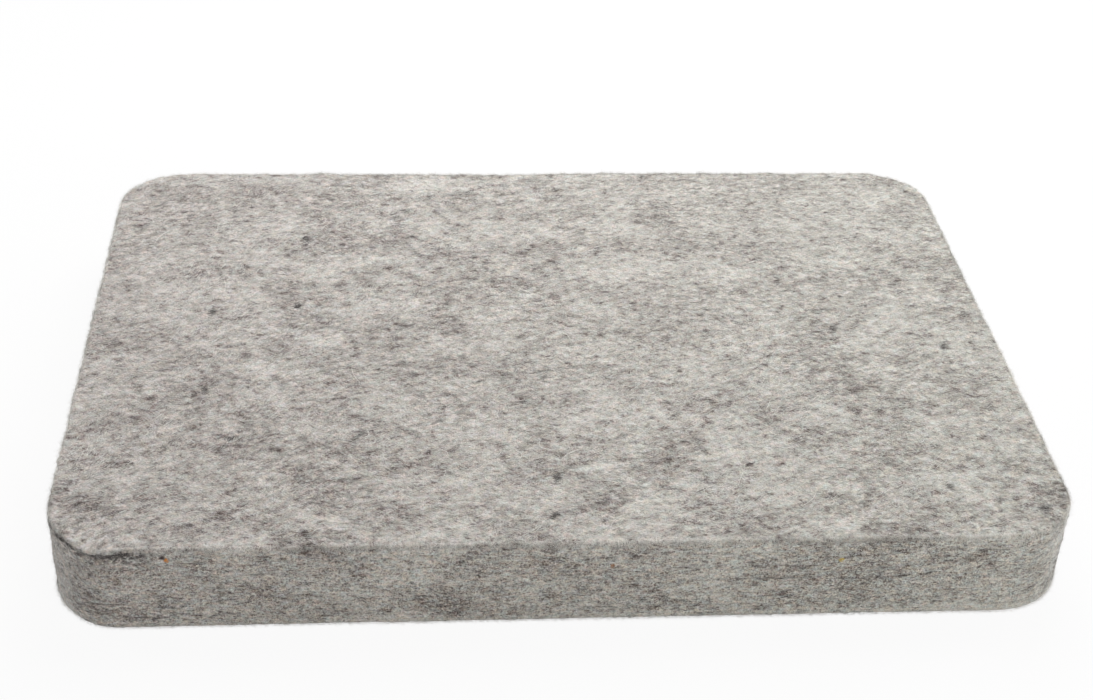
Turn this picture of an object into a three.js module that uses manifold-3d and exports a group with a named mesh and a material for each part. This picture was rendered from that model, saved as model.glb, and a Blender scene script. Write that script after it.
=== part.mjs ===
// A needle felting mat: a thick, soft block of grey wool felt with rounded corners. It is laid up
// from plies of carded wool, which are pressed and needled into one another and then cut to one
// outline, so that the sides of all plies lie in line.
// Millimetres, +Z up. The origin is the middle of the mat's underside. +X runs along the long side
// and +Y away from the person at work.
import * as THREE from "three";
import { mergeVertices } from "three/addons/utils/BufferGeometryUtils.js";
import Module from "manifold-3d";

// Driving dimensions
const MAT_LENGTH = 300;
const MAT_WIDTH = 220;
const CORNER_RADIUS = 23;
const RIM_ROUND = 1.0;
const OUTER_PLY_THICKNESS = 4.7;
const CORE_PLY_THICKNESS = 4.7;
const CORE_PLY_COUNT = 4;
const PLY_GAP = 0.12;

// Fineness of the round stretches
const CORNER_STEPS = 10;
const RIM_STEPS = 4;

const FELT_GREY = 0xa5a29e;
const FELT_ROUGHNESS = 1.0;

const wasm = await Module();
wasm.setup();

function solidOf(geometry) {
  const bare = geometry.clone();
  bare.deleteAttribute("normal");
  bare.deleteAttribute("uv");
  const merged = mergeVertices(bare);
  const vertProperties = new Float32Array(merged.attributes.position.array);
  const triVerts = new Uint32Array(merged.index.array);
  return new wasm.Manifold(new wasm.Mesh({ numProp: 3, vertProperties, triVerts }));
}

function geometryOf(solid) {
  const mesh = solid.getMesh();
  const geometry = new THREE.BufferGeometry();
  geometry.setAttribute("position", new THREE.BufferAttribute(mesh.vertProperties, 3));
  geometry.setIndex(new THREE.BufferAttribute(mesh.triVerts, 1));
  geometry.computeVertexNormals();
  return geometry;
}

// The plies from the table upwards, each with its name, underside and thickness
function layUp() {
  const plies = [{ name: "bottom_ply", thickness: OUTER_PLY_THICKNESS }];
  for (let ply = 1; ply <= CORE_PLY_COUNT; ply += 1) {
    plies.push({ name: `core_ply_${ply}`, thickness: CORE_PLY_THICKNESS });
  }
  plies.push({ name: "top_ply", thickness: OUTER_PLY_THICKNESS });
  let underside = 0;
  for (const ply of plies) {
    ply.underside = underside;
    underside += ply.thickness + PLY_GAP;
  }
  return plies;
}

// The outline that the block is cut to: a rectangle with round corners
function matOutline() {
  const right = MAT_LENGTH / 2 - CORNER_RADIUS;
  const back = MAT_WIDTH / 2 - CORNER_RADIUS;
  const quarter = Math.PI / 2;
  const outline = new THREE.Shape();
  outline.absarc(right, back, CORNER_RADIUS, 0, quarter);
  outline.absarc(-right, back, CORNER_RADIUS, quarter, 2 * quarter);
  outline.absarc(-right, -back, CORNER_RADIUS, 2 * quarter, 3 * quarter);
  outline.absarc(right, -back, CORNER_RADIUS, 3 * quarter, 4 * quarter);
  outline.closePath();
  return outline;
}

// The whole block, cut to its outline, with the rims above and below softened
function cutBlock(height) {
  const block = new THREE.ExtrudeGeometry(matOutline(), {
    depth: height - 2 * RIM_ROUND,
    curveSegments: CORNER_STEPS,
    bevelEnabled: true,
    bevelThickness: RIM_ROUND,
    bevelSize: RIM_ROUND,
    bevelOffset: -RIM_ROUND,
    bevelSegments: RIM_STEPS,
  });
  block.translate(0, 0, RIM_ROUND);
  return solidOf(block);
}

// A slab as thick as one ply and twice as wide as the mat, which takes that ply out of the block
function plySlab(ply) {
  const slab = new THREE.BoxGeometry(2 * MAT_LENGTH, 2 * MAT_WIDTH, ply.thickness);
  slab.translate(0, 0, ply.underside + ply.thickness / 2);
  return solidOf(slab);
}

function feltPly(ply, block) {
  const felt = new THREE.MeshStandardMaterial({
    color: FELT_GREY,
    roughness: FELT_ROUGHNESS,
    metalness: 0,
  });
  const mesh = new THREE.Mesh(geometryOf(block.intersect(plySlab(ply))), felt);
  mesh.name = ply.name;
  return mesh;
}

const plies = layUp();
const topPly = plies[plies.length - 1];
const block = cutBlock(topPly.underside + topPly.thickness);

const mat = new THREE.Group();
for (const ply of plies) {
  mat.add(feltPly(ply, block));
}

export default mat;
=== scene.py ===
"""The looks of a needle felting mat: plies of grey wool felt under a nap of loose wool fibres."""
import math

import bpy
import numpy as np
from mathutils import Matrix, Vector


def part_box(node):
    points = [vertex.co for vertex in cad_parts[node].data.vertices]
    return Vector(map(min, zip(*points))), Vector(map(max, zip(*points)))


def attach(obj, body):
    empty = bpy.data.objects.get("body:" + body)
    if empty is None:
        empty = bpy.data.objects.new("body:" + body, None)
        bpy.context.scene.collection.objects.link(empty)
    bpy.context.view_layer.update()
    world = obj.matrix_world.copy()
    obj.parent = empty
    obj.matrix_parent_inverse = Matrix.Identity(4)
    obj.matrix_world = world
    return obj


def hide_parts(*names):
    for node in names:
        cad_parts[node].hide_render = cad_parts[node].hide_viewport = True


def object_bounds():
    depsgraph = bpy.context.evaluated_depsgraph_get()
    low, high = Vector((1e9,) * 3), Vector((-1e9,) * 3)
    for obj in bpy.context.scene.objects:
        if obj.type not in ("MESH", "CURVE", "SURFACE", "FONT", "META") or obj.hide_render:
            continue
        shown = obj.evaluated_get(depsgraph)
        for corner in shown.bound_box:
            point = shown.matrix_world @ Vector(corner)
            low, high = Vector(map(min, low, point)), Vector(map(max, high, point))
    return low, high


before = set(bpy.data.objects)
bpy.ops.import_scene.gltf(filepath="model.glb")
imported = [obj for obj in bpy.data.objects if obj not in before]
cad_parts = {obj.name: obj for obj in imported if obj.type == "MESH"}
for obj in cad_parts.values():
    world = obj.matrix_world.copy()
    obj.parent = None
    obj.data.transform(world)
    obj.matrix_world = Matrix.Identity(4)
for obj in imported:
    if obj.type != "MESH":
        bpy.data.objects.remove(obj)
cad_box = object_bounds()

MM = 0.001
QUARTER = math.pi / 2
MAT_BODY = "root"

# Sizes of the mat, from the frame where it has them
HALF_LENGTH = cad_box[1].x
HALF_WIDTH = cad_box[1].y
HEIGHT = cad_box[1].z
CORNER_RADIUS = 23 * MM
RIM_ROUND = 1.0 * MM
CORE_X = HALF_LENGTH - CORNER_RADIUS
CORE_Y = HALF_WIDTH - CORNER_RADIUS

# Smooth noise for the wool, from a lattice of random values that repeats
NOISE_SEED = 11
LATTICE_SIZE = 96
SEED_STEP = 17.31
random = np.random.default_rng(NOISE_SEED)
lattice = random.uniform(-1, 1, (LATTICE_SIZE,) * 3)


def wool_noise(points, size, seed):
    """Smooth random values from -1 to 1 at these points, which change over this size in millimetres."""
    cell = points / (np.array(size) * MM) + SEED_STEP * seed
    low = np.floor(cell).astype(int)
    part = cell - low
    part = part * part * (3 - 2 * part)
    total = np.zeros(len(points))
    for corner in np.ndindex(2, 2, 2):
        weight = np.where(corner, part, 1 - part).prod(axis=1)
        total += weight * lattice[tuple(((low + corner) % LATTICE_SIZE).T)]
    return total


# The felt's unevenness, with the size of each noise in millimetres
WAVES = {"size": (55, 55, 90), "seed": 1}
WAVE_DEPTH = 0.4 * MM
LUMPS = {"size": (9, 7, 4), "seed": 2}
LUMP_DEPTH = 0.2 * MM
TUFTS = {"size": (2.6, 2.2, 1.5), "seed": 3}
TUFT_DEPTH = 0.16 * MM
RAGS = {"size": (2.4, 2.4, 1.2), "seed": 4}
RAG_DEPTH = 0.22 * MM
RAG_WIDTH = 1.6 * MM
PRESSED_IN = 0.15 * MM
FOOT_HEIGHT = 6 * MM
FOOT_LOOSE = 0.35


def beyond_core(points):
    """How far these points lie outside the rectangle between the corners' centres, on the flat."""
    return np.linalg.norm(np.maximum(np.abs(points[:, :2]) - [CORE_X, CORE_Y], 0), axis=1)


def relief(points):
    """How far the felt stands out of its plain shape: less at the foot, and ragged along the upper rim."""
    waves = WAVE_DEPTH * wool_noise(points, **WAVES)
    lumps = LUMP_DEPTH * wool_noise(points, **LUMPS)
    tufts = TUFT_DEPTH * wool_noise(points, **TUFTS)
    loose = FOOT_LOOSE + (1 - FOOT_LOOSE) * np.clip(points[:, 2] / FOOT_HEIGHT, 0, 1)
    inside = (CORNER_RADIUS - beyond_core(points)) / RAG_WIDTH
    below = (HEIGHT - points[:, 2]) / RAG_WIDTH
    rags = RAG_DEPTH * np.exp(-inside * inside - below * below) * wool_noise(points, **RAGS)
    return loose * (waves + lumps + tufts) + rags - PRESSED_IN


# The front left corner was cut fuller than the others, and its upper rim hangs over and is worn down
FULL_TURN = math.radians(248)
FULL_AIM = math.radians(240)
FULL_WIDTH = 6.5 * MM
FULL_DEPTH = 0.6 * MM
WORN_DEPTH = 0.7 * MM
WORN_LIP = 0.45 * MM
WORN_LIP_HEIGHT = 1.4 * MM
WORN_LIP_STEP = 0.9 * MM


def heading(angle):
    return np.array([math.cos(angle), math.sin(angle)])


full_place = CORNER_RADIUS * heading(FULL_TURN) - [CORE_X, CORE_Y]
full_out = heading(FULL_AIM)


def full_corner(points):
    """How far these points move where the front left corner is fuller, with a drooping rim."""
    far = np.linalg.norm(points[:, :2] - full_place, axis=1) / FULL_WIDTH
    near = np.exp(-far * far)
    rim = np.clip((points[:, 2] - HEIGHT + WORN_LIP_HEIGHT) / WORN_LIP_STEP, 0, 1)
    flat = (near * (FULL_DEPTH + WORN_LIP * rim))[:, None] * full_out
    return np.column_stack([flat, -WORN_DEPTH * near * points[:, 2] / HEIGHT])


# The mat's outline, as rows from front to back and as a ring anticlockwise from the front left
COLUMNS = 290
SIDE_ROWS = 170
CORNER_ROWS = 26
RIM_LEVELS = 5

columns = np.linspace(-1, 1, COLUMNS + 1)
corner_turn = np.linspace(0, QUARTER, CORNER_ROWS + 1)
side_y = np.linspace(-CORE_Y, CORE_Y, SIDE_ROWS + 1)[1:-1]
turn = np.concatenate([-corner_turn[::-1], np.zeros(len(side_y)), corner_turn])
row_y = np.concatenate([np.full(CORNER_ROWS + 1, -CORE_Y), side_y, np.full(CORNER_ROWS + 1, CORE_Y)])
row_out = np.stack([np.cos(turn), np.sin(turn)], axis=1)


def ring_of(front, right, back, left):
    return np.concatenate([front[:-1], right[:-1], back[::-1][:-1], left[::-1][:-1]])


def edge_core(sign):
    return np.stack([columns * CORE_X, np.full(len(columns), sign * CORE_Y)], axis=1)


def edge_out(sign):
    return np.tile([0.0, sign], (len(columns), 1))


def side_core(sign):
    return np.stack([np.full(len(row_y), sign * CORE_X), row_y], axis=1)


ring_core = ring_of(edge_core(-1), side_core(1), edge_core(1), side_core(-1))
ring_out = ring_of(edge_out(-1), row_out, edge_out(1), row_out * [-1, 1])
grid_index = np.arange(len(row_y) * len(columns)).reshape(len(row_y), len(columns))
grid_ring = ring_of(grid_index[0], grid_index[:, -1], grid_index[-1], grid_index[:, 0])
RING = len(ring_core)


def ring_points(inset, z):
    flat = ring_core + ring_out * (CORNER_RADIUS - inset)[:, None]
    return np.column_stack([flat, z])


def ring_normals(rise):
    """Outward directions round the ring, tipped up by an angle."""
    return np.column_stack([ring_out * math.cos(rise), np.full(RING, math.sin(rise))])


def face_grid(inset, z):
    """A flat face of the mat as a grid of points, whose rim is the ring at that inset."""
    reach = CORNER_RADIUS - inset
    x = columns[None, :] * (CORE_X + reach * row_out[:, :1])
    y = np.broadcast_to((row_y + reach * row_out[:, 1])[:, None], x.shape)
    return np.stack([x.ravel(), y.ravel(), np.full(x.size, z)], axis=1)


def make_piece(name, points, quads, triangles, material):
    corners = np.concatenate([quads.ravel(), triangles.ravel()])
    quad_starts = np.arange(len(quads)) * quads.shape[1]
    triangle_starts = quads.size + np.arange(len(triangles)) * triangles.shape[1]
    starts = np.concatenate([quad_starts, triangle_starts])
    mesh = bpy.data.meshes.new(name)
    mesh.vertices.add(len(points))
    mesh.vertices.foreach_set("co", points.astype(np.float32).ravel())
    mesh.loops.add(len(corners))
    mesh.loops.foreach_set("vertex_index", corners.astype(np.int32))
    mesh.polygons.add(len(starts))
    mesh.polygons.foreach_set("loop_start", starts.astype(np.int32))
    mesh.update(calc_edges=True)
    mesh.shade_smooth()
    mesh.materials.append(material)
    piece = bpy.data.objects.new(name, mesh)
    bpy.context.scene.collection.objects.link(piece)
    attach(piece, MAT_BODY)
    return piece


class Shade:
    """One output of a shader node. Arithmetic on it adds Math nodes to the same material."""

    def __init__(self, tree, socket=None):
        self.tree = tree
        self.socket = socket

    def node(self, kind, settings=(), inputs=(), output=0):
        """Adds a node: its settings first, then a value or a link for each of the inputs named."""
        made = self.tree.nodes.new(kind)
        for name, value in dict(settings).items():
            if name == "stops":
                set_stops(made.color_ramp, value)
            else:
                setattr(made, name, value)
        for name, value in dict(inputs).items():
            if isinstance(value, Shade):
                self.tree.links.new(value.socket, made.inputs[name])
            else:
                made.inputs[name].default_value = value
        return Shade(self.tree, made.outputs[output] if made.outputs else None)

    def math(self, operation, *values):
        return self.node("ShaderNodeMath", {"operation": operation}, enumerate(values))

    def __add__(self, other):
        return self.math("ADD", self, other)

    def __sub__(self, other):
        return self.math("SUBTRACT", self, other)

    def __mul__(self, other):
        return self.math("MULTIPLY", self, other)

    def __rsub__(self, other):
        return self.math("SUBTRACT", other, self)

    __radd__ = __add__
    __rmul__ = __mul__


def set_stops(ramp, stops):
    while len(ramp.elements) < len(stops):
        ramp.elements.new(1.0)
    for element, (place, colour) in zip(ramp.elements, stops):
        element.position = place
        element.color = colour


def new_material(name):
    material = bpy.data.materials.new(name)
    material.use_nodes = True
    material.node_tree.nodes.clear()
    return material, Shade(material.node_tree)


def finish_material(shade, inputs):
    surface = shade.node("ShaderNodeBsdfPrincipled", inputs=inputs)
    shade.node("ShaderNodeOutputMaterial", inputs={"Surface": surface})


# Colours of the wool: what is added to the red, green and blue of a grey level on a screen
SCREEN_WHITE = 255
SCREEN_GAMMA = 2.2
PLAIN = (4.6, 1.0, -4.9)
BROWNISH = (6.2, -1.2, -4.8)
PURPLISH = (4.8, -1.8, -2.4)
COOL = (1.8, 2.3, -3.6)
WARM = (7.6, 0.6, -7.8)


def screen_colour(levels):
    """The linear colour that shows at these levels of red, green and blue, 0 to 255, on a screen."""
    return tuple((level / SCREEN_WHITE) ** SCREEN_GAMMA for level in levels) + (1.0,)


def wool(level, tinge=PLAIN):
    """The colour of wool of this grey level on a screen, with a tinge of another colour."""
    return screen_colour([level + part for part in tinge])


# The felt's colours, from its darkest wool to its palest, and the casts that they are multiplied by
WHITE = (1.0, 1.0, 1.0, 1.0)
BLACK = (0.0, 0.0, 0.0, 1.0)
RUSTY = (1.085, 0.98, 0.905, 1.0)
BLUISH = (0.935, 1.0, 1.05, 1.0)
MAUVE = (1.022, 0.972, 1.006, 1.0)
MOSSY = (0.978, 1.026, 0.986, 1.0)
FELT_STOPS = [
    (0.1, wool(76, BROWNISH)),
    (0.3, wool(129, BROWNISH)),
    (0.5, wool(174)),
    (0.66, wool(199)),
    (0.9, wool(222)),
]
TINT_STOPS = [(0.34, RUSTY), (0.66, BLUISH)]
CAST_STOPS = [(0.36, MAUVE), (0.64, MOSSY)]
THREAD_STOPS = [(0.0, WHITE), (0.06, BLACK)]
DARK_FLECK_STOPS = [(0.3, WHITE), (0.42, BLACK)]

# The felt's grains: patches as length, width and height in millimetres, turned on the flat by an angle
MATTED = [{"patch": (1.4, 0.45, 0.7), "turn": turn} for turn in (0.2, -0.9, 1.5)]
LOCKS = [
    {"patch": (3.2, 1.2, 1.0), "turn": 0.25, "detail": 1.0},
    {"patch": (3.0, 1.2, 1.0), "turn": -0.6, "detail": 1.0},
]
HAIRS = [{"patch": (1.8, 0.26, 0.45), "turn": turn, "detail": 1.0, "curl": 0.6} for turn in (0.6, -0.5)]
FLECKS = {"patch": (4.4, 3.2, 1.7), "turn": 0.15, "detail": 3.0}
CLOUDS = {"patch": (20.0, 14.0, 9.0), "turn": 0.1}
LONG_THREADS = {"patch": (2.2, 2.2, 0.5), "detail": 1.0}
SHORT_THREADS = {"patch": (1.4, 1.4, 0.36), "detail": 1.0}
TINTS = {"patch": (2.6, 1.8, 1.2), "turn": 0.4, "detail": 4.0}
CASTS = {"patch": (2.0, 1.5, 1.0), "turn": 1.1, "detail": 4.0}
GRAIN_ROUGHNESS = 0.6
GRAIN_MIDDLE = 0.5

# How much each grain counts in the felt's tone, in places on the cut sides alone
TONE_MIDDLE = 0.512
MATTED_SHARE = 0.5
MATTED_CUT_SHARE = 0.12
HAIR_SHARE = 0.42
LOCK_SHARE = 0.4
FLECK_SHARE = 0.8
DARK_FLECK_SHARE = 0.12
BLOTCHES_ON_CUT = 0.75
CLOUD_SHARE = 0.6
THREAD_CUT_SHARE = 0.24
THREAD_MIDDLE = 0.6
# Painted light: how much paler the felt is drawn towards the foot, and up to what height, for light the
# white floor bounces onto it
FOOT_PAINTED_BOUNCE = 0.2
FOOT_PAINTED_BOUNCE_HEIGHT = 4.5 * MM
TINT_ON_TOP = 0.7
# Painted light colour: how much greener the felt is drawn towards the right and on its cut sides, for the
# colour of the light there
LIGHT_TINT_TO_RIGHT = 0.06
LAMP_TINT_ON_CUT = 0.06

# The numbers of a Mix node's colour sockets, since its sockets for other kinds of value share their names
MIX_COLOUR = 6
MIX_CAST = 7
MIX_RESULT = 2

# The felt's surface and the fibres'
FELT_ROUGHNESS = 0.88
FELT_ROUGHNESS_SWING = 0.25
FELT_BUMP = {"Strength": 0.6, "Distance": 0.3 * MM}
FELT_SHINE = {"Specular IOR Level": 0.1, "Sheen Weight": 0.8, "Sheen Roughness": 0.3}
FIBRE_SHINE = {"Roughness": 0.85, "Specular IOR Level": 0.2, "Sheen Weight": 0.25}


def felt_material():
    """Mottled grey felt: pale and dark wool matted in all directions, in locks, flecks and clouds."""
    material, shade = new_material("grey_wool_felt")
    place = shade.node("ShaderNodeTexCoord", output="Object")

    def grain(patch, turn=0.0, detail=2.0, curl=0.0):
        """Noise from 0 to 1 in patches of this size."""
        size = tuple(side * MM for side in patch)
        lie = {"Vector": place, "Rotation": (0, 0, turn), "Scale": size}
        turned = shade.node("ShaderNodeMapping", {"vector_type": "TEXTURE"}, lie)
        look = {"Scale": 1.0, "Detail": detail, "Roughness": GRAIN_ROUGHNESS, "Distortion": curl}
        return shade.node("ShaderNodeTexNoise", inputs={"Vector": turned} | look)

    def crossed(lays):
        """Grains that lie over one another, as values on both sides of 0."""
        total = grain(**lays[0])
        for lay in lays[1:]:
            total = total + grain(**lay)
        return total - GRAIN_MIDDLE * len(lays)

    def ramp(stops, value):
        return shade.node("ShaderNodeValToRGB", {"stops": stops}, {"Fac": value})

    def threads(lay):
        """Thin pale level lines, where stretched noise passes its middle value."""
        wave = grain(**lay) - GRAIN_MIDDLE
        return ramp(THREAD_STOPS, wave.math("ABSOLUTE", wave))

    def axis(vector, name):
        return shade.node("ShaderNodeSeparateXYZ", inputs={"Vector": vector}, output=name)

    def multiplied(factor, colour, cast):
        settings = {"data_type": "RGBA", "blend_type": "MULTIPLY"}
        inputs = {"Factor": factor, MIX_COLOUR: colour, MIX_CAST: cast}
        return shade.node("ShaderNodeMix", settings, inputs, MIX_RESULT)

    upright = axis(shade.node("ShaderNodeNewGeometry", output="True Normal"), "Z")
    level = upright.math("ABSOLUTE", upright)
    cut = 1 - level
    matted = crossed(MATTED)
    hairs = crossed(HAIRS)
    flecks = grain(**FLECKS)
    clouds = grain(**CLOUDS) - GRAIN_MIDDLE
    dark = ramp(DARK_FLECK_STOPS, flecks)
    blotches = crossed(LOCKS) * LOCK_SHARE + (flecks - GRAIN_MIDDLE) * FLECK_SHARE - dark * DARK_FLECK_SHARE
    pale = threads(LONG_THREADS) + threads(SHORT_THREADS) - THREAD_MIDDLE
    # Painted light: the felt is drawn paler towards the foot, for light bounced up from the floor
    rise = {"From Min": 0.0, "From Max": FOOT_PAINTED_BOUNCE_HEIGHT, "To Min": FOOT_PAINTED_BOUNCE, "To Max": 0.0}
    foot = shade.node("ShaderNodeMapRange", inputs={"Value": axis(place, "Z")} | rise)
    tone = (
        TONE_MIDDLE
        + matted * (MATTED_SHARE + cut * MATTED_CUT_SHARE)
        + hairs * HAIR_SHARE
        + blotches * (BLOTCHES_ON_CUT + (1 - BLOTCHES_ON_CUT) * level)
        + clouds * CLOUD_SHARE
        + pale * cut * THREAD_CUT_SHARE
        + foot
    )
    tint = ramp(TINT_STOPS, grain(**TINTS))
    # The cast differs at random, and is also painted light colour: greener towards the right and on the cut
    # sides
    light_tint_to_right = axis(place, "X") * (LIGHT_TINT_TO_RIGHT / HALF_LENGTH)
    cast = ramp(CAST_STOPS, grain(**CASTS) + light_tint_to_right + cut * LAMP_TINT_ON_CUT)
    tinted = multiplied(TINT_ON_TOP + cut * (1 - TINT_ON_TOP), ramp(FELT_STOPS, tone), tint)
    bump = shade.node("ShaderNodeBump", inputs=FELT_BUMP | {"Height": matted + hairs})
    drawn = {
        "Base Color": multiplied(1.0, tinted, cast),
        "Roughness": FELT_ROUGHNESS + matted * FELT_ROUGHNESS_SWING,
        "Normal": bump,
    }
    finish_material(shade, drawn | FELT_SHINE)
    return material


def fibre_material(name, colour):
    """One shade of wool. A fibre is too fine to show a pattern, so the shades together make the mottling."""
    material, shade = new_material(name)
    finish_material(shade, {"Base Color": colour} | FIBRE_SHINE)
    return material


# The plies, whose cut sides meet in wavy seams that open in short cracks
SEAM_WAVES = {"size": (16, 16, 5), "seed": 6}
SEAM_WAVE_DEPTH = 0.55 * MM
SEAM_CLOSE = 0.02 * MM
CRACKS = {"size": (7, 7, 3), "seed": 5}
CRACK_CONTRAST = 2.2
CRACK_START = 0.9
CRACK_DEPTH = 0.5 * MM
CRACK_GAP = 0.1 * MM
OVERHANGS = {"size": (18, 18, 3), "seed": 7}
OVERHANG_CONTRAST = 1.6
OVERHANG_START = -0.3
OVERHANG_DEPTH = 0.5 * MM
OVERHANG_LEVEL = 0.88
SIDE_LEVELS = (0.0, 0.05, 0.18, 0.34, 0.5, 0.66, 0.78, OVERHANG_LEVEL, 0.96, 1.0)


def seam_ring(seam):
    return ring_points(np.zeros(RING), np.full(RING, seam))


def cracks(seam):
    """How far each point of a seam between two plies has opened, from 0 to 1, in short stretches."""
    return np.clip(CRACK_CONTRAST * wool_noise(seam_ring(seam), **CRACKS) - CRACK_START, 0, 1)


def seam_height(seam):
    return seam + SEAM_WAVE_DEPTH * wool_noise(seam_ring(seam), **SEAM_WAVES)


def overhang():
    """How far the felt draws back below the upper rim, from 0 to 1, so that the rim hangs over in places."""
    return np.clip(OVERHANG_CONTRAST * wool_noise(seam_ring(HEIGHT), **OVERHANGS) - OVERHANG_START, 0, 1)


def rim_rings(top):
    """The soft rim of an outer ply, from its flat face round to its side."""
    rings = []
    for level in range(RIM_LEVELS + 1):
        rise = QUARTER * (1 - level / RIM_LEVELS)
        inset = np.full(RING, RIM_ROUND * (1 - math.cos(rise)))
        drop = RIM_ROUND * (1 - math.sin(rise))
        if top:
            rings.append((inset, np.full(RING, HEIGHT - drop), ring_normals(rise)))
        else:
            rings.append((inset, np.full(RING, drop), ring_normals(-rise)))
    return rings


def side_rings(low_seam, high_seam):
    """Rings down a ply's cut side. A seam is a height between plies, or None at the mat's own faces."""
    low = np.full(RING, RIM_ROUND)
    high = np.full(RING, HEIGHT - RIM_ROUND)
    low_open = np.zeros(RING)
    high_open = np.zeros(RING)
    if low_seam is not None:
        low_open = cracks(low_seam)
        low = seam_height(low_seam) + SEAM_CLOSE + CRACK_GAP * low_open
    if high_seam is not None:
        high_open = cracks(high_seam)
        high = seam_height(high_seam) - SEAM_CLOSE - CRACK_GAP * high_open
    rings = []
    for share in reversed(SIDE_LEVELS):
        inset = np.zeros(RING)
        if share == 0.0:
            inset = CRACK_DEPTH * low_open
        if share == 1.0:
            inset = CRACK_DEPTH * high_open
        if share == OVERHANG_LEVEL and high_seam is None:
            inset = OVERHANG_DEPTH * overhang()
        rings.append((inset, low + share * (high - low), ring_normals(0)))
    return rings


def ply_skin(name, low_seam, high_seam, felt):
    """One ply as a closed felt form, with a fine grid on a face that shows and a plain one inside."""
    rings = side_rings(low_seam, high_seam)
    if high_seam is None:
        rings = rim_rings(True) + rings[1:]
    if low_seam is None:
        rings = rings[:-1] + rim_rings(False)[::-1]
    points = []
    quads = []
    triangles = [np.empty((0, 3), int)]
    for inset, z, normals in rings:
        plain = ring_points(inset, z)
        points.append(plain + normals * relief(plain)[:, None])
    indices = np.arange(len(rings) * RING).reshape(len(rings), RING)
    count = indices.size
    for upper, lower in zip(indices[:-1], indices[1:]):
        quads.append(np.stack([upper, lower, np.roll(lower, -1), np.roll(upper, -1)], axis=1))
    for up, seam, rim in ((1, high_seam, indices[0]), (-1, low_seam, indices[-1])):
        if seam is None:
            grid = face_grid(RIM_ROUND, HEIGHT if up > 0 else 0.0)
            grid[:, 2] += up * relief(grid)
            inner = np.ones(len(grid), bool)
            inner[grid_ring] = False
            place = np.empty(len(grid), int)
            place[inner] = count + np.arange(inner.sum())
            place[grid_ring] = rim
            points.append(grid[inner])
            count += inner.sum()
            cells = place[grid_index]
            corners = (cells[:-1, :-1], cells[:-1, 1:], cells[1:, 1:], cells[1:, :-1])
            quads.append(np.stack(corners[::up], axis=-1).reshape(-1, len(corners)))
        else:
            points.append(np.array([[0.0, 0.0, seam - up * SEAM_CLOSE]]))
            fan = np.stack([rim, np.roll(rim, -1), np.full(RING, count)], axis=1)
            triangles.append(fan[:, ::up])
            count += 1
    points = np.concatenate(points)
    points += full_corner(points)
    points[:, 2] = np.maximum(points[:, 2], 0)
    piece = make_piece(f"{name}_felt", points, np.concatenate(quads), np.concatenate(triangles), felt)
    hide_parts(name)


def make_plies():
    felt = felt_material()
    names = sorted(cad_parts, key=lambda node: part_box(node)[0].z)
    tops = [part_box(name)[1].z for name in names]
    bottoms = [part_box(name)[0].z for name in names]
    seams = [None] + [(top + bottom) / 2 for top, bottom in zip(tops[:-1], bottoms[1:])] + [None]
    for name, low_seam, high_seam in zip(names, seams[:-1], seams[1:]):
        ply_skin(name, low_seam, high_seam, felt)


# The nap of loose fibres, in shades from white to black
UP = np.array([0.0, 0.0, 1.0])
ALONG = np.array([1.0, 0.0, 0.0])
TO_FRONT = np.array([0.0, -1.0, 0.0])
SHADES = {
    "white": wool(242),
    "pale": wool(220, COOL),
    "light": wool(199, WARM),
    "mid": wool(172, COOL),
    "dim": wool(136, BROWNISH),
    "dark": wool(98, PURPLISH),
    "black": wool(48, PURPLISH),
}
FIBRES_PER_PIECE = 15000
FIBRE_SIDES = 3
SINK = 0.06 * MM


def strand_lines(roots, out, lie, length, bend, lift, steps):
    """Points along each fibre, which starts in the felt, bends on the flat and lifts towards its tip."""
    share = np.linspace(0, 1, steps + 2)[None, :, None]
    length = length[:, None, None]
    forward = lie[:, None, :] * length * (share - 0.5)
    sideways = np.cross(out, lie)[:, None, :] * (bend[:, None, None] * length * (share * share - share))
    upward = out[:, None, :] * (lift[:, None, None] * share - SINK * (1 - share))
    return roots[:, None, :] + forward + sideways + upward


def strand_tubes(lines, out, radius):
    """Closed three-sided tubes along these lines, pointed at both ends."""
    steps = lines.shape[1] - 2
    tangent = lines[:, -1] - lines[:, 0]
    tangent /= np.linalg.norm(tangent, axis=1, keepdims=True)
    wide = np.cross(tangent, out)
    wide /= np.linalg.norm(wide, axis=1, keepdims=True)
    deep = np.cross(tangent, wide)
    corners = []
    for place in range(1, steps + 1):
        for side in range(FIBRE_SIDES):
            angle = side * 2 * math.pi / FIBRE_SIDES
            spoke = math.cos(angle) * wide + math.sin(angle) * deep
            corners.append(lines[:, place] + radius[:, None] * spoke)
    points = np.stack([lines[:, 0]] + corners + [lines[:, -1]], axis=1)
    tip = points.shape[1] - 1
    last = tip - FIBRE_SIDES
    first = points.shape[1] * np.arange(len(lines))[:, None]
    quads = [np.empty((0, 4), int)]
    triangles = []
    for side in range(FIBRE_SIDES):
        after = (side + 1) % FIBRE_SIDES
        for near in range(1, last, FIBRE_SIDES):
            far = near + FIBRE_SIDES
            quads.append(first + [near + side, near + after, far + after, far + side])
        triangles.append(first + [0, 1 + after, 1 + side])
        triangles.append(first + [tip, last + side, last + after])
    return points.reshape(-1, 3), np.concatenate(quads), np.concatenate(triangles)


# Patches of darker and paler fibres: how much patches of each size in millimetres count
PATCH_SHARES = {1.5: 1.0, 3.2: 1.0, 7.0: 1.45, 22.0: 1.4}
PATCH_FIRST_SEED = 20
PATCH_STRETCH = 1.4
PATCH_HIGHEST = 7.0
FIBRE_CHANCE = 0.45

# The way the wool was carded, as angles that wander slowly and quickly
LEAN = -0.3
SLOW_FLOW = {"size": (26, 26, 26), "seed": 30}
SLOW_SWING = 0.6
QUICK_FLOW = {"size": (7, 7, 7), "seed": 31}
QUICK_SWING = 0.5


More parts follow.
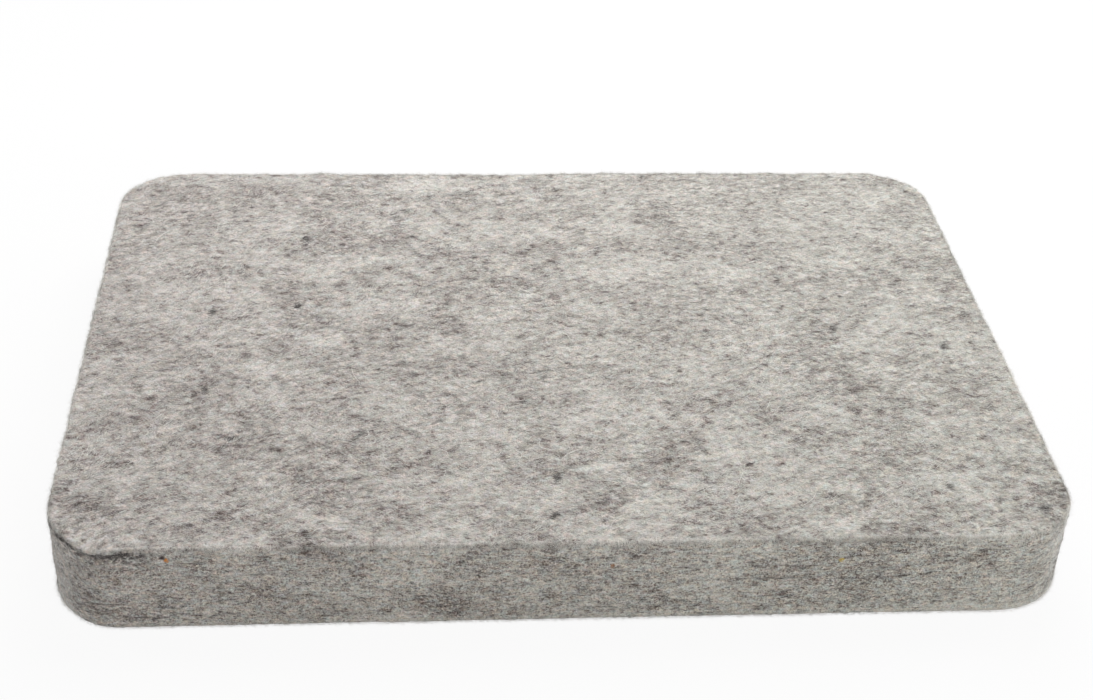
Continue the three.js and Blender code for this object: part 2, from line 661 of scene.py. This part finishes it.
def darkness(points):
    """How dark the wool is at these points: fibres of one shade lie together in flecks and clouds."""
    tone = random.normal(0, FIBRE_CHANCE, len(points))
    for seed, (size, share) in enumerate(PATCH_SHARES.items(), PATCH_FIRST_SEED):
        tone += share * wool_noise(points, (PATCH_STRETCH * size, size, min(size, PATCH_HIGHEST)), seed)
    return tone


def flow(points):
    """The way the wool was carded at these points, as an angle: it leans opposite ways on left and right."""
    lean = LEAN * points[:, 0] / HALF_LENGTH
    slow = SLOW_SWING * wool_noise(points, **SLOW_FLOW)
    quick = QUICK_SWING * wool_noise(points, **QUICK_FLOW)
    return lean + slow + quick


# How single fibres differ from their habit
ROOT_SCATTER = 0.3
LENGTH_SPREAD = 0.35
SHORTEST = 0.6
LIFT_SHAPE = 1.6
THINNEST = 0.6
THICKEST = 1.4
SHADE_MIX = 0.12
LAST_PLACE = 0.999


def make_nap(zone, roots, out, along, habit, materials):
    """Locks of fibres at these roots, in pieces of one shade each. The habit says how they lie."""
    lock = habit["lock"]
    locks = len(roots)
    turn = habit["slant"] + habit["sway"] * flow(roots) + random.normal(0, habit["wander"], locks)
    place = np.empty(locks)
    place[np.argsort(-darkness(roots))] = np.linspace(0, 1, locks, endpoint=False)
    roots, out, along = [np.repeat(rows, lock, axis=0) for rows in (roots, out, along)]
    turn = np.repeat(turn, lock)[:, None]
    count = len(roots)
    lie = along * np.cos(turn) + np.cross(out, along) * np.sin(turn)
    across = np.cross(out, lie)
    roots = roots + lie * random.normal(0, habit["length"] * ROOT_SCATTER, (count, 1)) * MM
    roots = roots + across * random.normal(0, habit["spread"], (count, 1)) * MM
    skin = roots + out * relief(roots)[:, None] + full_corner(roots)
    length = random.lognormal(math.log(habit["length"]), LENGTH_SPREAD, count)
    length = length.clip(SHORTEST, habit["longest"]) * MM
    lift = random.gamma(LIFT_SHAPE, habit["lift"] / LIFT_SHAPE, count).clip(0, habit["highest"]) * MM
    bend = random.normal(0, habit["bend"], count)
    radius = random.uniform(THINNEST, THICKEST, count) * habit["thickness"] / 2 * MM
    lines = strand_lines(skin, out, lie, length, bend, lift, habit["steps"])
    lines[:, :, 2] += np.maximum(radius - lines[:, :, 2].min(axis=1), 0)[:, None]
    place = np.repeat(place, lock) + random.normal(0, habit.get("mix", SHADE_MIX), count)
    place = place.clip(0, LAST_PLACE)
    start = 0.0
    for shade, share in zip(materials, habit["shades"]):
        chosen = np.flatnonzero((place >= start) & (place < start + share))
        start += share
        for first in range(0, len(chosen), FIBRES_PER_PIECE):
            few = chosen[first:first + FIBRES_PER_PIECE]
            tubes = strand_tubes(lines[few], out[few], radius[few])
            make_piece(f"{zone}_{shade}_{first // FIBRES_PER_PIECE + 1}", *tubes, materials[shade])


# How the fibres of each zone lie: sizes in millimetres, angles in radians, and the share of each shade
TOP_HABIT = {
    "count": 26000, "lock": 3, "spread": 0.25, "length": 2.4, "longest": 6.0, "thickness": 0.078, "steps": 2,
    "slant": 0.25, "sway": 1.1, "wander": 0.25, "bend": 0.4, "lift": 0.18, "highest": 1.2,
    "shades": (0.14, 0.35, 0.28, 0.15, 0.08),
}
STRAY_HABIT = {
    "count": 300, "lock": 1, "spread": 0.0, "length": 8.0, "longest": 16.0, "thickness": 0.11, "steps": 6,
    "slant": 0.1, "sway": 1.0, "wander": 1.2, "bend": 1.6, "lift": 0.5, "highest": 1.5,
    "shades": (0.6, 0.4),
}
SIDE_HABIT = {
    "count": 13000, "lock": 3, "spread": 0.14, "length": 1.3, "longest": 4.0, "thickness": 0.085, "steps": 2,
    "slant": 0.0, "sway": 0.3, "wander": 0.3, "bend": 0.3, "lift": 0.12, "highest": 0.8,
    "shades": (0.2, 0.26, 0.16, 0.14, 0.15, 0.09),
}
FUZZ_HABIT = {
    "count": 28000, "lock": 1, "spread": 0.0, "length": 1.2, "longest": 3.0, "thickness": 0.036, "steps": 1,
    "slant": 0.0, "sway": 1.0, "wander": 1.2, "bend": 0.6, "lift": 0.55, "highest": 1.6,
    "shades": (0.6, 0.4),
}
RIM_FUZZ_HABIT = FUZZ_HABIT | {"shades": (0.45, 0.35, 0.15, 0.05)}
RIM_HABIT = {
    "count": 1800, "lock": 2, "spread": 0.2, "length": 1.7, "longest": 3.5, "thickness": 0.075, "steps": 2,
    "slant": QUARTER, "sway": 0.4, "wander": 0.7, "bend": 0.6, "lift": 0.35, "highest": 1.2,
    "shades": (0.45, 0.4, 0.15),
}
# The crease's dark fibres are partly real dark wool and partly painted shade in the fold under the worn rim
CREASE_HABIT = {
    "count": 200, "lock": 5, "spread": 0.15, "length": 1.5, "longest": 3.0, "thickness": 0.1, "steps": 2,
    "slant": 0.0, "sway": 0.3, "wander": 0.3, "bend": 0.4, "lift": 0.2, "highest": 0.6,
    "shades": (0.0, 0.0, 0.0, 0.1, 0.3, 0.45, 0.15),
}
KNOT_HABIT = {
    "lock": 60, "spread": 1.1, "length": 1.9, "longest": 3.5, "thickness": 0.09, "steps": 2,
    "slant": 0.0, "sway": 0.6, "wander": 0.8, "bend": 0.8, "lift": 0.26, "highest": 0.7,
    "shades": (0.0, 0.0, 0.0, 0.05, 0.3, 0.4, 0.25), "mix": 0.5,
}
SPECK_HABIT = {
    "lock": 24, "spread": 0.26, "length": 0.9, "longest": 1.5, "thickness": 0.2, "steps": 2,
    "slant": 0.0, "sway": 1.0, "wander": 1.0, "bend": 0.8, "lift": 0.35, "highest": 0.6,
    "shades": (1.0,),
}

# Where fibres stand on the sides and round the foot
SIDE_LOWEST = 0.5 * MM
FOOT_FUZZ_LOWEST = 0.3 * MM
FOOT_FUZZ_HEIGHT = 0.9 * MM

# The fold under the worn rim, drawn with dark wool that is partly painted shade of the fold: its middle and
# spread round the corner, as shares of it, and its heights
CREASE_MIDDLE = 0.24
CREASE_SPREAD = 0.3
CREASE_DROP = 0.9 * MM
CREASE_HEIGHT = 0.8 * MM

# Knots of dark wool on the upper face, in millimetres from its middle. The heaviest stands twice.
KNOTS = [
    (140, -97), (140, -97), (-5, -97), (-110, -32), (-100, -58), (114, -86), (131, -11),
    (96, 0), (-111, 13), (-83, 17), (-82, 61), (-61, -57), (-3, -79),
]

# Bits of coloured wool in the front: millimetres right of the middle and up, and the colour on a screen
SPECKS = {
    "orange": (-114.5, 25.3, (244, 168, 88)),
    "umber": (-115.6, 26.3, (96, 84, 84)),
    "yellow": (77.5, 21.1, (232, 208, 130)),
    "rust": (10.9, 20.4, (176, 134, 104)),
}


def face_nap(zone, flat, habit, materials):
    """Fibres at these places of the upper face."""
    roots = np.column_stack([flat, np.full(len(flat), HEIGHT)])
    out = np.tile(UP, (len(flat), 1))
    along = np.tile(ALONG, (len(flat), 1))
    make_nap(zone, roots, out, along, habit, materials)


def top_nap(zone, habit, materials):
    flat = random.uniform(-1, 1, (habit["count"], 2)) * [HALF_LENGTH, HALF_WIDTH]
    reach = CORNER_RADIUS - RIM_ROUND / 2 - habit["length"] / 2 * MM
    face_nap(zone, flat[beyond_core(flat) < reach], habit, materials)


def dark_knots(materials):
    face_nap("knots", np.array(KNOTS) * MM, KNOT_HABIT, materials)


def coloured_specks():
    for name, (x, z, levels) in SPECKS.items():
        materials = {name: fibre_material(f"{name}_wool_fibre", screen_colour(levels))}
        roots = np.array([[x * MM, -HALF_WIDTH, z * MM]])
        make_nap("speck", roots, TO_FRONT[None, :], ALONG[None, :], SPECK_HABIT, materials)


def rim_height(rise):
    """The height on the round upper rim where it faces up by this angle."""
    return HEIGHT - RIM_ROUND * (1 - np.sin(rise))


def rim_nap(zone, spots, heights, rise, habit, materials):
    """Fibres at these spots of the ring and heights, on a surface that faces up by the rise angle."""
    count = len(spots)
    part = (spots % 1)[:, None]
    before = np.floor(spots).astype(int) % RING
    after = (before + 1) % RING
    core = ring_core[before] * (1 - part) + ring_core[after] * part
    flat_out = ring_out[before] * (1 - part) + ring_out[after] * part
    flat_out /= np.linalg.norm(flat_out, axis=1, keepdims=True)
    inset = RIM_ROUND * (1 - np.cos(rise))
    roots = np.column_stack([core + flat_out * (CORNER_RADIUS - inset)[:, None], heights])
    out = np.column_stack([flat_out * np.cos(rise)[:, None], np.sin(rise)])
    along = np.column_stack([-flat_out[:, 1], flat_out[:, 0], np.zeros(count)])
    make_nap(zone, roots, out, along, habit, materials)


def side_nap(materials):
    count = SIDE_HABIT["count"]
    spots = random.uniform(0, RING, count)
    heights = random.uniform(SIDE_LOWEST, HEIGHT - RIM_ROUND, count)
    rim_nap("side_nap", spots, heights, np.zeros(count), SIDE_HABIT, materials)


def edge_fuzz(materials):
    """Fine loose ends that soften the outline: along the upper rim, on the sides and round the foot."""
    count = FUZZ_HABIT["count"]
    level = np.zeros(count)
    rise = random.uniform(0, QUARTER, count)
    rim_spots, side_spots, foot_spots = random.uniform(0, RING, (3, count))
    side_heights = random.uniform(SIDE_LOWEST, HEIGHT - RIM_ROUND, count)
    foot_heights = random.exponential(FOOT_FUZZ_HEIGHT, count).clip(FOOT_FUZZ_LOWEST, FOOT_HEIGHT)
    rim_nap("rim_fuzz", rim_spots, rim_height(rise), rise, RIM_FUZZ_HABIT, materials)
    rim_nap("side_fuzz", side_spots, side_heights, level, FUZZ_HABIT, materials)
    rim_nap("foot_fuzz", foot_spots, foot_heights, level, FUZZ_HABIT, materials)


def crease_wool_and_painted_shade(materials):
    """Dark wool in the fold under the worn rim, partly painted shade of the fold, round the front left
    corner and a little along the front.
    """
    count = CREASE_HABIT["count"]
    spots = RING - CORNER_ROWS * random.normal(CREASE_MIDDLE, CREASE_SPREAD, count)
    heights = HEIGHT - CREASE_DROP - random.exponential(CREASE_HEIGHT, count)
    rim_nap("crease", spots, heights, np.zeros(count), CREASE_HABIT, materials)


def rim_ends(materials):
    """Ends of the upper face's nap that lie over the rim and break its line."""
    count = RIM_HABIT["count"]
    spots = random.uniform(0, RING, count)
    rise = random.uniform(0, QUARTER, count)
    rim_nap("rim_nap", spots, rim_height(rise), rise, RIM_HABIT, materials)


def make_naps():
    materials = {shade: fibre_material(f"{shade}_wool_fibre", colour) for shade, colour in SHADES.items()}
    top_nap("top_nap", TOP_HABIT, materials)
    top_nap("strays", STRAY_HABIT, materials)
    side_nap(materials)
    edge_fuzz(materials)
    crease_wool_and_painted_shade(materials)
    dark_knots(materials)
    coloured_specks()
    rim_ends(materials)


# The studio
VIEW_AZIMUTH = math.radians(-5.506)
VIEW_ELEVATION = math.radians(33.638)
VIEW_ROLL = math.radians(2.608)
VIEW_DISTANCE = 632.76 * MM
VIEW_PAN_RIGHT = 0.69 * MM
VIEW_PAN_UP = 17.64 * MM
LENS = 61.27
SENSOR = 36.0
FLOOR_HALF = 3.0
FLOOR_WHITE = (0.86, 0.86, 0.86, 1.0)
FLOOR_GLOW = 0.92
FLOOR_GLOW_NEAR = 0.5
FLOOR_GLOW_FAR = 1.5
SKY_LEVEL = 0.43
SKY_LEAN = 0.24

# Each lamp's place and width in metres, and its power in watts
LAMPS = {
    "back_softbox": ((0.1, 0.33, 0.45), 0.5, 2.85),
    "right_softbox": ((0.58, 0.2, 0.06), 0.2, 1.2),
    "left_softbox": ((-0.6, 0.18, 0.07), 0.2, 1.15),
    "front_softbox": ((0.3, -0.58, 0.25), 0.4, 1.08),
}


def make_camera():
    back = Vector((
        math.sin(VIEW_AZIMUTH) * math.cos(VIEW_ELEVATION),
        -math.cos(VIEW_AZIMUTH) * math.cos(VIEW_ELEVATION),
        math.sin(VIEW_ELEVATION),
    ))
    level = Vector((math.cos(VIEW_AZIMUTH), math.sin(VIEW_AZIMUTH), 0))
    upright = back.cross(level)
    right = math.cos(VIEW_ROLL) * level + math.sin(VIEW_ROLL) * upright
    up = math.cos(VIEW_ROLL) * upright - math.sin(VIEW_ROLL) * level
    camera = bpy.data.objects.new("camera", bpy.data.cameras.new("camera"))
    camera.data.lens = LENS
    camera.data.sensor_width = SENSOR
    place = back * VIEW_DISTANCE + right * VIEW_PAN_RIGHT + up * VIEW_PAN_UP
    camera.matrix_world = Matrix.Translation(place) @ Matrix((right, up, back)).transposed().to_4x4()
    bpy.context.scene.collection.objects.link(camera)
    bpy.context.scene.camera = camera


def soft_lamp(name, place, width, power):
    lamp = bpy.data.lights.new(name, "AREA")
    lamp.shape = "SQUARE"
    lamp.size = width
    lamp.energy = power
    holder = bpy.data.objects.new(name, lamp)
    holder.location = place
    holder.rotation_euler = (-Vector(place)).to_track_quat("-Z", "Y").to_euler()
    bpy.context.scene.collection.objects.link(holder)


def seen_directly(shade):
    """1 where the camera, a mirror or glass sees the surface, and 0 where it only lights others."""
    kinds = ("Camera", "Glossy", "Transmission")
    camera, mirror, glass = [shade.node("ShaderNodeLightPath", output=f"Is {kind} Ray") for kind in kinds]
    return shade.math("MAXIMUM", camera, shade.math("MAXIMUM", mirror, glass))


def make_floor():
    """A white floor that takes the mat's shadow near it and fades into the white background further off."""
    material, shade = new_material("white_floor")
    paper = shade.node("ShaderNodeBsdfDiffuse", inputs={"Color": FLOOR_WHITE})
    glow = shade.node("ShaderNodeEmission", inputs={"Color": WHITE, "Strength": 1.0})
    place = shade.node("ShaderNodeTexCoord", output="Object")
    away = shade.node("ShaderNodeVectorMath", {"operation": "LENGTH"}, {0: place}, "Value")
    fade = {"From Min": FLOOR_GLOW_NEAR, "From Max": FLOOR_GLOW_FAR, "To Min": FLOOR_GLOW, "To Max": 1.0}
    share = seen_directly(shade) * shade.node("ShaderNodeMapRange", inputs={"Value": away} | fade)
    both = shade.node("ShaderNodeMixShader", inputs={0: share, 1: paper, 2: glow})
    shade.node("ShaderNodeOutputMaterial", inputs={"Surface": both})
    mesh = bpy.data.meshes.new("floor")
    corners = [(x * FLOOR_HALF, y * FLOOR_HALF, 0) for x, y in ((-1, -1), (1, -1), (1, 1), (-1, 1))]
    mesh.from_pydata(corners, [], [(0, 1, 2, 3)])
    mesh.materials.append(material)
    floor = bpy.data.objects.new("floor", mesh)
    bpy.context.scene.collection.objects.link(floor)


def make_light():
    """A soft sky that is a little brighter on the right and shows as white, and the lamps."""
    world = bpy.data.worlds.new("studio")
    world.use_nodes = True
    bpy.context.scene.world = world
    world.node_tree.nodes.clear()
    shade = Shade(world.node_tree)
    direction = shade.node("ShaderNodeTexCoord", output="Generated")
    rightward = shade.node("ShaderNodeSeparateXYZ", inputs={"Vector": direction}, output="X")
    sky = SKY_LEVEL + rightward * (SKY_LEVEL * SKY_LEAN)
    direct = seen_directly(shade)
    strength = direct + (1 - direct) * sky
    glow = shade.node("ShaderNodeBackground", inputs={"Color": WHITE, "Strength": strength})
    shade.node("ShaderNodeOutputWorld", inputs={"Surface": glow})
    for name, (place, width, power) in LAMPS.items():
        soft_lamp(name, place, width, power)
    bpy.context.scene.view_settings.view_transform = "Standard"


make_camera()
make_plies()
make_naps()
make_floor()
make_light()
